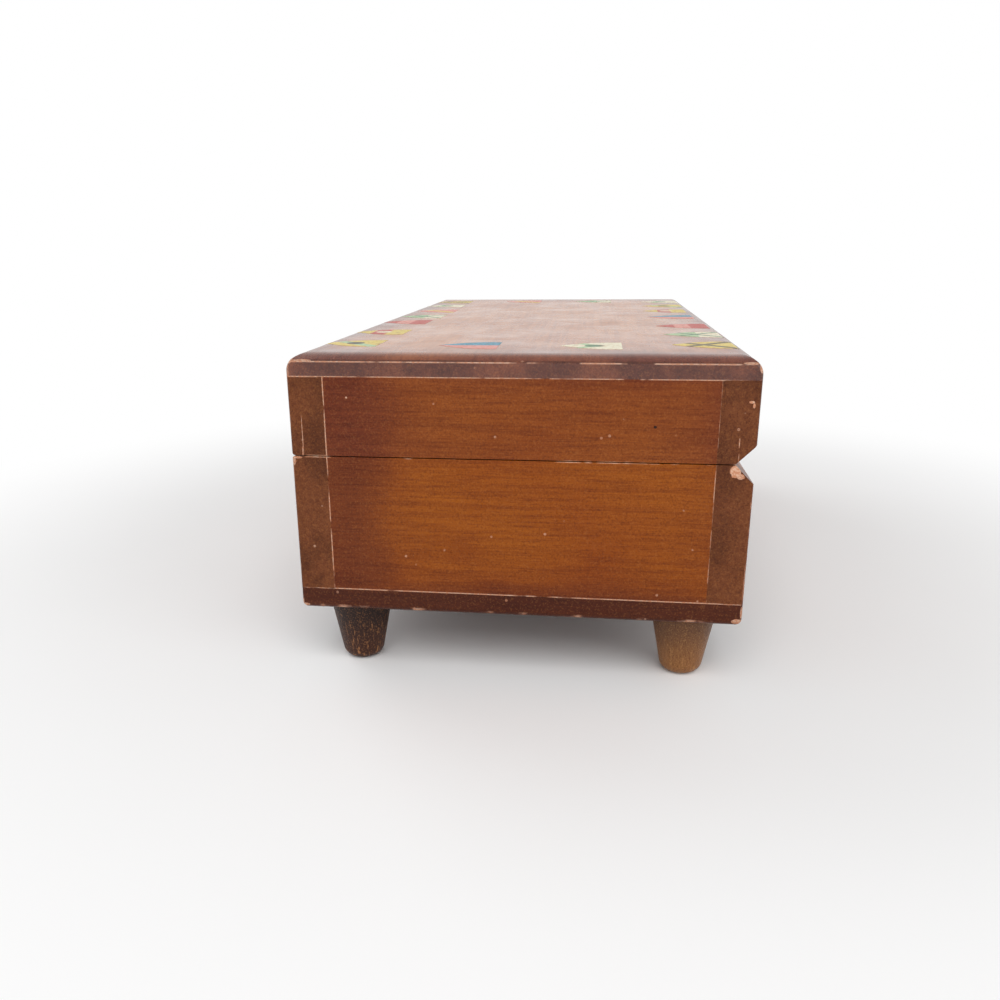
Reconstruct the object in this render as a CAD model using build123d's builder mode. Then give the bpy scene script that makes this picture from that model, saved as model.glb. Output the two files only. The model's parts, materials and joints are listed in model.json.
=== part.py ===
# Musical jewelry box: a small lacquered hardwood chest on four turned feet, with a hinged
# lid, a mirror in the lid, ring rolls and a velvet well, and an 18-tooth comb movement
# under glass at the left end. Millimetres. X runs along the box, the front faces -Y, the
# hinges are at +Y, and Z is up from the floor under the feet.
import os
from math import atan2, cos, degrees, pi, radians, sin, sqrt

from build123d import *

os.makedirs("parts", exist_ok=True)

# Box
LENGTH = 250.0
WIDTH = 125.0
WALL = 10.0
FOOT_HEIGHT = 19.5
BOTTOM_THICK = 6.5
RIM_HEIGHT = 45.5
PARTING_GAP = 0.3
LID_WALL_TOP = 67.6
TOP_HEIGHT = 73.4
ARRIS = 1.0
BOTTOM_ROUND = 1.8

HALF_L = LENGTH / 2
HALF_W = WIDTH / 2
IN_X = HALF_L - WALL
IN_Y = HALF_W - WALL
Z_UNDER = FOOT_HEIGHT
Z_FLOOR = Z_UNDER + BOTTOM_THICK
Z_RIM = Z_UNDER + RIM_HEIGHT
Z_LID = Z_RIM + PARTING_GAP
Z_BOARD = Z_UNDER + LID_WALL_TOP
Z_TOP = Z_UNDER + TOP_HEIGHT

# Top board: the long edges are rounded over, the ends fall away in a shallow curve
EDGE_ROUND_W = 5.0
EDGE_ROUND_H = 4.5
END_FALL_IN = 7.0
END_FALL = 1.8

# V-shaped relief along the back of the parting line, which holds the hinge leaves
RELIEF = 5.1

# Feet
FOOT_X = 112.5
FOOT_Y = 48.0
FOOT_TOP_R = 9.4
FOOT_BASE_R = 5.7
FOOT_CORNER = 3.5
TENON_R = 4.0
TENON_LEN = 5.0

# Inside: partition, glass over the movement, linings
PARTITION_X = -60.0
PARTITION_THICK = 5.0
PARTITION_TOP = Z_RIM - 4.0
GLASS_Z = Z_RIM - 9.0
GLASS_THICK = 2.0
GROOVE = 2.5
GLASS_PLAY = 0.5
VELVET = 1.5
PAD_THICK = 2.0
FIT = 0.05

# Ring rolls across the left side of the well
ROLLS = 4
ROLL_W = 11.0
ROLL_H = 15.0
ROLL_GAP = 0.1
ROLL_FOOT_IN = 1.0
ROLL_FOOT_H = 3.0
ROLL_END = 1.2

# Mirror in the lid
MIRROR_THICK = 2.0
BEAD = 6.0
BEAD_FLAT = 1.0
MIRROR_PLAY = 0.3

# Hinges: leaves on the two faces of the relief, so that they fold together at 90 degrees
HINGE_X = 78.0
HINGE_LEN = 25.0
LEAF_THICK = 0.8
LEAF_GAP = 0.3
LEAF_REACH = 6.6
KNUCKLES = 3
KNUCKLE_GAP = 0.25
BARREL_R = 1.5
BARREL_CLEAR = 0.35
LEAF_NEAR = 1.95
PIN_R = 0.7
PIN_PLAY = 0.04
SCREW_R = 0.8
SCREW_LEN = 6.0
SCREW_SPACING = 15.0
SCREW_ALONG = 4.4
LEAF_BACK = LEAF_THICK + LEAF_GAP
HINGE_Z = Z_RIM + PARTING_GAP / 2
HINGE_Y = HALF_W - RELIEF - PARTING_GAP / 2 + LEAF_BACK * sqrt(2)

# Movement
MOVE_X = -93.5
BARREL_Y = -20.0
PLATE_X = (-16.0, 26.0)
PLATE_Y = (-34.0, 33.0)
PLATE_THICK = 3.0
PLATE_SCREWS = ((-12.0, 29.0), (22.0, 29.0), (22.0, -30.0))
PLATE_SCREW_R = 1.5
PLATE_SCREW_HEAD_R = 3.0
PLATE_SCREW_HEAD_H = 1.8
POST_R = 2.0
FRONT_POST = (-6.7, 1.4)
REAR_POST = (20.2, 1.8)
SPRING_R = 10.3
SPRING_H = 12.0
CUP_WALL = 0.8
CUP_ROOF = 1.2
LUG_THICK = 1.2
SQUARE_R = 2.0
ARBOR_BODY_R = 2.6
ARBOR_TIP_R = 1.5
GREAT_TEETH = 36
GREAT_R = 12.9
CROWN_IN_R = 10.8
GREAT_MESH_R = 11.88
GREAT_THICK = 1.6
CROWN_H = 0.8
DRUM_TEETH = 20
DRUM_MESH_R = GREAT_MESH_R * DRUM_TEETH / GREAT_TEETH
DRUM_R = 6.6
DRUM_Y = (-5.0, 16.0)
PIN_TRACKS = 18
COMB_X = MOVE_X + 22.0
COMB_Y = 6.0
COMB_W = 7.0
COMB_THICK = 0.8
COMB_SCREWS = ((COMB_X, -1.0), (COMB_X, 13.0))
COMB_SCREW_R = 0.9
COMB_HEAD_R = 2.0
TOOTH_ROOT_X = MOVE_X + 19.0
ARBOR_R = 1.2
BEARING_PLAY = 0.05
OUTPUT_TEETH = 32
PINION_TEETH = 8
MODULE = 0.5
MID_OFFSET = 9.6
MID_ARBOR_R = 0.8
MID_BOSS_R = 2.4
PINION_Y = 17.2
WORM_WHEEL_TEETH = 24
WORM_STARTS = 3
WORM_R = 1.6
WORM_CORE_R = 1.1
WORM_PIVOT_R = 0.6
BRACKET_THICK = 1.4
ARM_THICK = 1.0
WORM_PITCH = pi * MODULE
FLY_R = 5.0
FLY_H = 4.6
FLY_HUB_R = 1.6
FLY_THICK = 0.5

Z_PLATE = Z_FLOOR + PLATE_THICK
Z_GREAT = Z_PLATE + 1.0
Z_CROWN = Z_GREAT + GREAT_THICK
Z_CUP = Z_CROWN + 2.0
Z_DRUM = Z_CROWN + CROWN_H / 2 + DRUM_MESH_R
COMB_Z = Z_DRUM - COMB_THICK / 2
MID_X = MOVE_X - MID_OFFSET
MID_Z = Z_DRUM - sqrt((MODULE * (OUTPUT_TEETH + PINION_TEETH) / 2) ** 2 - MID_OFFSET**2)
WORM_X = MID_X + MODULE * WORM_WHEEL_TEETH / 2 + WORM_R
WORM_Y = 25.0
FLY_Z = MID_Z + MODULE * WORM_WHEEL_TEETH / 2 + 1.2
ARM_Z = FLY_Z + FLY_H + 1.4
BRACKET_Y = WORM_Y + FLY_R + 0.6

# Winding key
KEY_STEM_R = 3.0
KEY_HOLE_R = 5.0
KEY_W = 22.0
KEY_THICK = 2.2
KEY_LOW = 5.0
KEY_TOP = Z_UNDER - 1.0

# Stop plunger, which the closed lid holds down
STOP_X = -119.5
STOP_Y = 34.0
STOP_R = 1.5
STOP_LOW = Z_RIM - 20.0
STOP_RISE = 3.0
WIRE_R = 0.4
WIRE_Z = FLY_Z + FLY_H + WIRE_R + 0.4


def save(part, name):
    part.label = name
    export_step(part, f"parts/{name}.step")


def hinge_plane(x, side):
    """Plane on a face of the relief at x: local Z points out of the wood."""
    origin = (x, HINGE_Y - LEAF_BACK / sqrt(2), HINGE_Z + side * LEAF_BACK / sqrt(2))
    return Plane(origin=origin, x_dir=(1, 0, 0), z_dir=(0, 1, -side))


def cut_hinge_relief(side):
    """Cuts the screw holes and the groove for the barrels into the open back board."""
    for x in (-HINGE_X, HINGE_X):
        plane = hinge_plane(x, side)
        with BuildSketch(plane) as screw_holes:
            with Locations((0, -side * SCREW_ALONG)):
                with GridLocations(SCREW_SPACING, 1, 2, 1):
                    Circle(SCREW_R)
        extrude(screw_holes.sketch, amount=-SCREW_LEN, mode=Mode.SUBTRACT)
        with Locations(Location((x, HINGE_Y, HINGE_Z), (0, 90, 0))):
            Cylinder(BARREL_R + BARREL_CLEAR, HINGE_LEN + 2 * BARREL_CLEAR, mode=Mode.SUBTRACT)


# Base: front and back boards run the full length, the end boards sit between them
with BuildPart() as base_front_board:
    with BuildSketch(Plane.XY.offset(Z_FLOOR)):
        with Locations((0, -HALF_W + WALL / 2)):
            Rectangle(LENGTH, WALL)
    extrude(amount=Z_RIM - Z_FLOOR)
    outer = base_front_board.edges().group_by(Axis.Y)[0]
    fillet(outer.filter_by(Axis.Z) + outer.filter_by(Axis.X).sort_by(Axis.Z)[-1:], ARRIS)
save(base_front_board.part, "base_front_board")

with BuildPart() as base_back_board:
    with BuildSketch(Plane.YZ.offset(-HALF_L)):
        with BuildLine():
            Polyline(
                (IN_Y, Z_FLOOR),
                (HALF_W, Z_FLOOR),
                (HALF_W, Z_RIM - RELIEF),
                (HALF_W - RELIEF, Z_RIM),
                (IN_Y, Z_RIM),
                close=True,
            )
        make_face()
    extrude(amount=LENGTH)
    fillet(base_back_board.edges().group_by(Axis.Y)[-1].filter_by(Axis.Z), ARRIS)
    cut_hinge_relief(-1)
save(base_back_board.part, "base_back_board")

with BuildPart() as base_right_end:
    with BuildSketch(Plane.XY.offset(Z_FLOOR)):
        with Locations((HALF_L - WALL / 2, 0)):
            Rectangle(WALL, 2 * IN_Y)
    extrude(amount=Z_RIM - Z_FLOOR)
save(base_right_end.part, "base_right_end")

with BuildPart() as base_left_end:
    with BuildSketch(Plane.XY.offset(Z_FLOOR)):
        with Locations((-HALF_L + WALL / 2, 0)):
            Rectangle(WALL, 2 * IN_Y)
    extrude(amount=Z_RIM - Z_FLOOR)
    # Groove for the glass, then the bore and slot of the stop plunger
    with Locations((-IN_X - GROOVE / 2, 0, GLASS_Z + GLASS_THICK / 2)):
        Box(GROOVE, 2 * IN_Y, GLASS_THICK + 2 * FIT, mode=Mode.SUBTRACT)
    with BuildSketch(Plane.XY.offset(Z_RIM)):
        with Locations((STOP_X, STOP_Y)):
            Circle(STOP_R + BEARING_PLAY)
    extrude(amount=STOP_LOW - 1 - Z_RIM, mode=Mode.SUBTRACT)
    with BuildSketch(Plane.YZ.offset(STOP_X)):
        with Locations((STOP_Y, WIRE_Z + STOP_RISE / 2)):
            SlotCenterToCenter(STOP_RISE + 0.4, 2 * WIRE_R + 0.8, rotation=90)
    extrude(amount=WALL, mode=Mode.SUBTRACT)
save(base_left_end.part, "base_left_end")

with BuildPart() as bottom_board:
    with BuildSketch(Plane.XY.offset(Z_UNDER)):
        Rectangle(LENGTH, WIDTH)
    extrude(amount=BOTTOM_THICK)
    fillet(bottom_board.edges().filter_by(Axis.Z), ARRIS)
    fillet(bottom_board.faces().sort_by(Axis.Z)[0].edges(), BOTTOM_ROUND)
    with BuildSketch(Plane.XY.offset(Z_UNDER)):
        with GridLocations(2 * FOOT_X, 2 * FOOT_Y, 2, 2):
            Circle(TENON_R + FIT)
    extrude(amount=TENON_LEN, mode=Mode.SUBTRACT)
    with BuildSketch(Plane.XY.offset(Z_UNDER)):
        with Locations((MOVE_X, BARREL_Y)):
            Circle(KEY_HOLE_R)
    extrude(amount=BOTTOM_THICK, mode=Mode.SUBTRACT)
    with BuildSketch(Plane.XY.offset(Z_UNDER)):
        with Locations(*[(MOVE_X + x, y) for x, y in PLATE_SCREWS]):
            Circle(PLATE_SCREW_R)
    extrude(amount=BOTTOM_THICK, mode=Mode.SUBTRACT)
save(bottom_board.part, "bottom_board")

# One turned foot, with the dowel that holds it in the bottom board
for name, sx, sy in (
    ("foot_front_left", -1, -1),
    ("foot_front_right", 1, -1),
    ("foot_back_left", -1, 1),
    ("foot_back_right", 1, 1),
):
    with BuildPart() as foot:
        with BuildSketch(Plane.XZ):
            with BuildLine():
                Polyline(
                    (0, 0),
                    (FOOT_BASE_R, 0),
                    (FOOT_TOP_R, FOOT_HEIGHT),
                    (TENON_R, FOOT_HEIGHT),
                    (TENON_R, FOOT_HEIGHT + TENON_LEN),
                    (0, FOOT_HEIGHT + TENON_LEN),
                    close=True,
                )
            make_face()
            fillet(vertices().group_by(Axis.Y)[0].sort_by(Axis.X)[-1], FOOT_CORNER)
        revolve(axis=Axis.Z)
    save(foot.part.moved(Location((sx * FOOT_X, sy * FOOT_Y, 0))), name)

# Partition between the movement and the well, grooved for the glass
with BuildPart() as partition:
    with BuildSketch(Plane.XY.offset(Z_FLOOR)):
        with Locations((PARTITION_X, 0)):
            Rectangle(PARTITION_THICK, 2 * IN_Y)
    extrude(amount=PARTITION_TOP - Z_FLOOR)
    groove_x = PARTITION_X - PARTITION_THICK / 2 + GROOVE / 2
    with Locations((groove_x, 0, GLASS_Z + GLASS_THICK / 2)):
        Box(GROOVE, 2 * IN_Y, GLASS_THICK + 2 * FIT, mode=Mode.SUBTRACT)
save(partition.part, "partition")

GLASS_X = (-IN_X - GROOVE + GLASS_PLAY, PARTITION_X - PARTITION_THICK / 2 + GROOVE - GLASS_PLAY)
with BuildPart() as movement_glass:
    with BuildSketch(Plane.XY.offset(GLASS_Z + FIT)):
        with Locations((sum(GLASS_X) / 2, 0)):
            Rectangle(GLASS_X[1] - GLASS_X[0], 2 * IN_Y - GLASS_PLAY)
    extrude(amount=GLASS_THICK - FIT)
save(movement_glass.part, "movement_glass")

# Velvet linings of the well
WELL_X = (PARTITION_X + PARTITION_THICK / 2, IN_X)
WELL_MID = sum(WELL_X) / 2
WELL_LEN = WELL_X[1] - WELL_X[0]
LINING_TOP = PARTITION_TOP - 1.0

with BuildPart() as well_floor_pad:
    with BuildSketch(Plane.XY.offset(Z_FLOOR)):
        with Locations((WELL_MID, 0)):
            Rectangle(WELL_LEN, 2 * IN_Y)
    extrude(amount=PAD_THICK)
save(well_floor_pad.part, "well_floor_pad")
Z_WELL = Z_FLOOR + PAD_THICK

for name, y in (("lining_front", -IN_Y + VELVET / 2), ("lining_back", IN_Y - VELVET / 2)):
    with BuildPart() as lining:
        with BuildSketch(Plane.XY.offset(Z_WELL)):
            with Locations((WELL_MID, y)):
                Rectangle(WELL_LEN, VELVET)
        extrude(amount=LINING_TOP - Z_WELL)
    save(lining.part, name)

for name, x in (("lining_right", WELL_X[1] - VELVET / 2), ("lining_left", WELL_X[0] + VELVET / 2)):
    with BuildPart() as lining:
        with BuildSketch(Plane.XY.offset(Z_WELL)):
            with Locations((x, 0)):
                Rectangle(VELVET, 2 * (IN_Y - VELVET))
        extrude(amount=LINING_TOP - Z_WELL)
    save(lining.part, name)

# Ring rolls: stuffed velvet rolls side by side, each with a crowned top and drawn-in ends
ROLL_LEN = 2 * (IN_Y - VELVET) - 6 * ROLL_GAP
for roll in range(ROLLS):
    roll_x = WELL_X[0] + VELVET + ROLL_W * (roll + 0.5) + ROLL_GAP
    with BuildPart() as ring_roll:
        with BuildSketch(Plane.XZ.offset(-ROLL_LEN / 2)):
            with BuildLine():
                half = ROLL_W / 2 - ROLL_GAP
                foot = half - ROLL_FOOT_IN
                waist = ROLL_H - half
                Line((roll_x - foot, Z_WELL), (roll_x + foot, Z_WELL))
                Line((roll_x + foot, Z_WELL), (roll_x + half, Z_WELL + ROLL_FOOT_H))
                Line((roll_x + half, Z_WELL + ROLL_FOOT_H), (roll_x + half, Z_WELL + waist))
                ThreePointArc(
                    (roll_x + half, Z_WELL + waist),
                    (roll_x, Z_WELL + ROLL_H),
                    (roll_x - half, Z_WELL + waist),
                )
                Line((roll_x - half, Z_WELL + waist), (roll_x - half, Z_WELL + ROLL_FOOT_H))
                Line((roll_x - half, Z_WELL + ROLL_FOOT_H), (roll_x - foot, Z_WELL))
            make_face()
        extrude(amount=ROLL_LEN)
        chamfer(ring_roll.edges().filter_by(GeomType.CIRCLE), ROLL_END)
    save(ring_roll.part, f"ring_roll_{roll + 1}")

# Lid
with BuildPart() as lid_front_board:
    with BuildSketch(Plane.XY.offset(Z_LID)):
        with Locations((0, -HALF_W + WALL / 2)):
            Rectangle(LENGTH, WALL)
    extrude(amount=Z_BOARD - Z_LID)
    outer = lid_front_board.edges().group_by(Axis.Y)[0]
    fillet(outer.filter_by(Axis.Z) + outer.filter_by(Axis.X).sort_by(Axis.Z)[:1], ARRIS)
save(lid_front_board.part, "lid_front_board")

with BuildPart() as lid_back_board:
    with BuildSketch(Plane.YZ.offset(-HALF_L)):
        with BuildLine():
            Polyline(
                (IN_Y, Z_BOARD),
                (HALF_W, Z_BOARD),
                (HALF_W, Z_LID + RELIEF),
                (HALF_W - RELIEF, Z_LID),
                (IN_Y, Z_LID),
                close=True,
            )
        make_face()
    extrude(amount=LENGTH)
    fillet(lid_back_board.edges().group_by(Axis.Y)[-1].filter_by(Axis.Z), ARRIS)
    cut_hinge_relief(1)
save(lid_back_board.part, "lid_back_board")

for name, side in (("lid_left_end", -1), ("lid_right_end", 1)):
    with BuildPart() as lid_end:
        with BuildSketch(Plane.XY.offset(Z_LID)):
            with Locations((side * (HALF_L - WALL / 2), 0)):
                Rectangle(WALL, 2 * IN_Y)
        extrude(amount=Z_BOARD - Z_LID)
    save(lid_end.part, name)

with BuildPart() as lid_top_board:
    with BuildSketch(Plane.YZ.offset(-HALF_L)):
        with BuildLine():
            ridge = HALF_W - EDGE_ROUND_W
            shoulder = Z_TOP - EDGE_ROUND_H
            Line((-HALF_W, Z_BOARD), (HALF_W, Z_BOARD))
            Line((HALF_W, Z_BOARD), (HALF_W, shoulder))
            EllipticalCenterArc((ridge, shoulder), EDGE_ROUND_W, EDGE_ROUND_H, start_angle=0, arc_size=90)
            Line((ridge, Z_TOP), (-ridge, Z_TOP))
            EllipticalCenterArc((-ridge, shoulder), EDGE_ROUND_W, EDGE_ROUND_H, start_angle=90, arc_size=90)
            Line((-HALF_W, shoulder), (-HALF_W, Z_BOARD))
        make_face()
    extrude(amount=LENGTH)
    with BuildSketch(Plane.XZ.offset(-HALF_W)):
        with BuildLine():
            Line((-HALF_L, Z_TOP - END_FALL), (-HALF_L, Z_BOARD))
            Line((-HALF_L, Z_BOARD), (HALF_L, Z_BOARD))
            Line((HALF_L, Z_BOARD), (HALF_L, Z_TOP - END_FALL))
            TangentArc((HALF_L - END_FALL_IN, Z_TOP), (HALF_L, Z_TOP - END_FALL), tangent=(1, 0))
            Line((HALF_L - END_FALL_IN, Z_TOP), (-HALF_L + END_FALL_IN, Z_TOP))
            TangentArc((-HALF_L + END_FALL_IN, Z_TOP), (-HALF_L, Z_TOP - END_FALL), tangent=(-1, 0))
        make_face()
    extrude(amount=WIDTH, mode=Mode.INTERSECT)
    fillet(lid_top_board.edges().filter_by(Axis.Z), ARRIS)
save(lid_top_board.part, "lid_top_board")

# Mirror against the top board, held by four mitred quarter-round beads
MIRROR_Z = Z_BOARD - MIRROR_THICK
with BuildPart() as lid_mirror:
    with BuildSketch(Plane.XY.offset(MIRROR_Z)):
        Rectangle(2 * (IN_X - MIRROR_PLAY), 2 * (IN_Y - MIRROR_PLAY))
    extrude(amount=MIRROR_THICK)
save(lid_mirror.part, "lid_mirror")

for name, turn, run, reach in (
    ("mirror_bead_front", 0, IN_X, IN_Y),
    ("mirror_bead_right", 90, IN_Y, IN_X),
    ("mirror_bead_back", 180, IN_X, IN_Y),
    ("mirror_bead_left", 270, IN_Y, IN_X),
):
    with BuildPart() as bead:
        with BuildSketch(Plane.YZ.offset(-run)):
            with BuildLine():
                Line((-reach, MIRROR_Z), (-reach, MIRROR_Z - BEAD))
                Line((-reach, MIRROR_Z - BEAD), (-reach + BEAD_FLAT, MIRROR_Z - BEAD))
                RadiusArc(
                    (-reach + BEAD_FLAT, MIRROR_Z - BEAD),
                    (-reach + BEAD, MIRROR_Z - BEAD_FLAT),
                    BEAD_FLAT - BEAD,
                )
                Line((-reach + BEAD, MIRROR_Z - BEAD_FLAT), (-reach + BEAD, MIRROR_Z))
                Line((-reach + BEAD, MIRROR_Z), (-reach, MIRROR_Z))
            make_face()
        extrude(amount=2 * run)
        # Mitres at both ends
        with BuildSketch(Plane.XY.offset(MIRROR_Z)):
            with BuildLine():
                Polyline(
                    (-run, -reach),
                    (run, -reach),
                    (run - BEAD, -reach + BEAD),
                    (-run + BEAD, -reach + BEAD),
                    close=True,
                )
            make_face()
        extrude(amount=-BEAD, mode=Mode.INTERSECT)
    save(bead.part.moved(Location((0, 0, 0), (0, 0, turn))), name)

# Hinges
KNUCKLE_LEN = HINGE_LEN / KNUCKLES


def hinge_leaf(x, side):
    """A leaf on the relief face: the base leaf (side -1) has two knuckles, the lid leaf one."""
    own = range(0, KNUCKLES, 2) if side < 0 else range(1, KNUCKLES, 2)
    bore = PIN_R if side < 0 else PIN_R + PIN_PLAY
    start = x - HINGE_LEN / 2
    neck = LEAF_NEAR + 0.2
    with BuildPart() as leaf:
        with BuildSketch(hinge_plane(x, side)):
            with Locations((0, -side * (LEAF_NEAR + LEAF_REACH) / 2)):
                Rectangle(HINGE_LEN, LEAF_REACH - LEAF_NEAR)
            with Locations((0, -side * SCREW_ALONG)):
                with GridLocations(SCREW_SPACING, 1, 2, 1):
                    Circle(SCREW_R, mode=Mode.SUBTRACT)
        extrude(amount=LEAF_THICK)
        for knuckle in own:
            left = start + knuckle * KNUCKLE_LEN + KNUCKLE_GAP / 2
            with BuildSketch(Plane.YZ.offset(left)):
                with Locations((HINGE_Y, HINGE_Z)):
                    Circle(BARREL_R)
                with Locations(Location((HINGE_Y, HINGE_Z, 0), (0, 0, 45 * side))):
                    with Locations((neck / 2, side * (LEAF_GAP + LEAF_THICK / 2))):
                        Rectangle(neck, LEAF_THICK)
                with Locations((HINGE_Y, HINGE_Z)):
                    Circle(bore, mode=Mode.SUBTRACT)
            extrude(amount=KNUCKLE_LEN - KNUCKLE_GAP)
    return leaf.part


def hinge_screws(x, side):
    """Two wood screws, flush with the leaf."""
    with BuildPart() as screws:
        plane = hinge_plane(x, side)
        with BuildSketch(plane.offset(-SCREW_LEN)):
            with Locations((0, -side * SCREW_ALONG)):
                with GridLocations(SCREW_SPACING, 1, 2, 1):
                    Circle(SCREW_R)
        extrude(amount=SCREW_LEN + LEAF_THICK)
    return screws.part


for place, x in (("left", -HINGE_X), ("right", HINGE_X)):
    save(hinge_leaf(x, -1), f"hinge_{place}_base_leaf")
    save(hinge_leaf(x, 1), f"hinge_{place}_lid_leaf")
    save(hinge_screws(x, -1), f"hinge_{place}_base_screws")
    save(hinge_screws(x, 1), f"hinge_{place}_lid_screws")
    with BuildPart() as hinge_pin:
        with BuildSketch(Plane.YZ.offset(x - HINGE_LEN / 2)):
            with Locations((HINGE_Y, HINGE_Z)):
                Circle(PIN_R)
        extrude(amount=HINGE_LEN)
    save(hinge_pin.part, f"hinge_{place}_pin")


# Movement. Wheels on axes along Y are drawn on planes that face -Y.
def cross_plane(y):
    return Plane.XZ.offset(-y)


def toothed_face(x, z, teeth, pitch_r, depth, share, start):
    """Face of a spur wheel in the open sketch: a disc with tapered teeth around it."""
    root = pitch_r - depth
    tip_height = 2 * depth - 0.2
    width = 2 * pi * pitch_r / teeth * share
    with Locations((x, z)):
        Circle(root)
        with PolarLocations(root + tip_height / 2, teeth, start_angle=start):
            Trapezoid(width * 1.35, tip_height + 0.2, 90 - 12, rotation=-90)


with BuildPart() as movement_plate:
    with BuildSketch(Plane.XY.offset(Z_FLOOR)):
        with Locations((MOVE_X + sum(PLATE_X) / 2, sum(PLATE_Y) / 2)):
            RectangleRounded(PLATE_X[1] - PLATE_X[0], PLATE_Y[1] - PLATE_Y[0], 4)
    extrude(amount=PLATE_THICK)
    # Posts that carry the spring barrel
    with BuildSketch(Plane.XY.offset(Z_PLATE)):
        with Locations((MOVE_X - 13.9, BARREL_Y - 8.0), (MOVE_X + 16.0, BARREL_Y)):
            Circle(POST_R)
    extrude(amount=Z_CUP - Z_PLATE)
    # Bearing posts for the drum, with a lug for the middle arbor on the rear one
    with BuildSketch(cross_plane(FRONT_POST[0])):
        with Locations((MOVE_X, (Z_PLATE + Z_DRUM) / 2)):
            Rectangle(5.0, Z_DRUM - Z_PLATE)
        with Locations((MOVE_X, Z_DRUM)):
            Circle(2.5)
            Circle(ARBOR_R + BEARING_PLAY, mode=Mode.SUBTRACT)
    extrude(amount=-FRONT_POST[1])
    with BuildSketch(cross_plane(REAR_POST[0])):
        with Locations((MOVE_X - 4.5, (Z_PLATE + Z_DRUM) / 2)):
            Rectangle(15.0, Z_DRUM - Z_PLATE)
        with Locations((MOVE_X, Z_DRUM)):
            Circle(2.8)
            Circle(ARBOR_R + BEARING_PLAY, mode=Mode.SUBTRACT)
        with Locations((MID_X, MID_Z)):
            Circle(MID_BOSS_R)
            Circle(MID_ARBOR_R + BEARING_PLAY, mode=Mode.SUBTRACT)
    extrude(amount=-REAR_POST[1])
    # Raised seat of the comb
    with BuildSketch(Plane.XY.offset(Z_PLATE)):
        with Locations((COMB_X, COMB_Y)):
            Rectangle(COMB_W, 24.0)
    extrude(amount=COMB_Z - Z_PLATE)
    with BuildSketch(Plane.XY.offset(COMB_Z)):
        with Locations(*COMB_SCREWS):
            Circle(COMB_SCREW_R)
    extrude(amount=-5.0, mode=Mode.SUBTRACT)
    # Holes for the winding arbor and the fixing screws
    with BuildSketch(Plane.XY.offset(Z_FLOOR)):
        with Locations((MOVE_X, BARREL_Y)):
            Circle(KEY_STEM_R + 0.5)
        with Locations(*[(MOVE_X + x, y) for x, y in PLATE_SCREWS]):
            Circle(PLATE_SCREW_R)
    extrude(amount=PLATE_THICK, mode=Mode.SUBTRACT)
save(movement_plate.part, "movement_plate")

with BuildPart() as movement_screws:
    with BuildSketch(Plane.XY.offset(Z_UNDER)):
        with Locations(*[(MOVE_X + x, y) for x, y in PLATE_SCREWS]):
            Circle(PLATE_SCREW_R)
    extrude(amount=BOTTOM_THICK + PLATE_THICK)
    with BuildSketch(Plane.XY.offset(Z_UNDER)):
        with Locations(*[(MOVE_X + x, y) for x, y in PLATE_SCREWS]):
            Circle(PLATE_SCREW_HEAD_R)
    extrude(amount=-PLATE_SCREW_HEAD_H)
    chamfer(movement_screws.edges().group_by(Axis.Z)[0], 0.7)
save(movement_screws.part, "movement_screws")

# Spring barrel: an upturned cup with two lugs on the posts
with BuildPart() as spring_barrel:
    with BuildSketch(Plane.XY.offset(Z_CUP)):
        with Locations((MOVE_X, BARREL_Y)):
            Circle(SPRING_R)
    extrude(amount=SPRING_H)
    chamfer(spring_barrel.edges().sort_by(Axis.Z)[-1], 1.0)
    with BuildSketch(Plane.XY.offset(Z_CUP)):
        with Locations((MOVE_X, BARREL_Y)):
            Circle(SPRING_R - CUP_WALL)
    extrude(amount=SPRING_H - CUP_ROOF, mode=Mode.SUBTRACT)
    with BuildSketch(Plane.XY.offset(Z_CUP)):
        with BuildLine():
            Polyline(
                (MOVE_X + 9.9, BARREL_Y - 2.6),
                (MOVE_X + 18.4, BARREL_Y - 2.4),
                (MOVE_X + 18.4, BARREL_Y + 2.4),
                (MOVE_X + 9.9, BARREL_Y + 2.6),
                close=True,
            )
        make_face()
    extrude(amount=LUG_THICK)
    with BuildSketch(Plane.XY.offset(Z_CUP)):
        with BuildLine():
            Polyline(
                (MOVE_X - 7.0, BARREL_Y - 7.2),
                (MOVE_X - 9.4, BARREL_Y - 3.2),
                (MOVE_X - 15.9, BARREL_Y - 6.4),
                (MOVE_X - 14.2, BARREL_Y - 10.6),
                close=True,
            )
        make_face()
    extrude(amount=LUG_THICK)
    with BuildSketch(Plane.XY.offset(Z_CUP + SPRING_H)):
        with Locations((MOVE_X, BARREL_Y)):
            Circle(ARBOR_TIP_R + BEARING_PLAY)
    extrude(amount=-SPRING_H, mode=Mode.SUBTRACT)
save(spring_barrel.part, "spring_barrel")

# Mainspring: a flat strip wound between the arbor and the cup, on half-turn arcs
SPRING_TURNS = 4
SPRING_IN = 3.4
SPRING_STEP = 1.4
STRIP = 0.35
with BuildPart() as mainspring:
    with BuildSketch(Plane.XY.offset(Z_CUP + 1.0)):
        with BuildLine() as coil:
            for half_turn in range(2 * SPRING_TURNS):
                flip = 1 if half_turn % 2 == 0 else -1
                r0 = SPRING_IN + SPRING_STEP * half_turn / 2
                r1 = SPRING_IN + SPRING_STEP * (half_turn + 1) / 2
                begin = (MOVE_X + flip * r0, BARREL_Y)
                finish = (MOVE_X - flip * r1, BARREL_Y)
                bulge = (MOVE_X - flip * (r1 - r0) / 2, BARREL_Y + flip * (r0 + r1) / 2)
                ThreePointArc(begin, bulge, finish)
        trace(coil.line, line_width=STRIP)
    extrude(amount=SPRING_H - 3.4)
save(mainspring.part, "mainspring")

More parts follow.
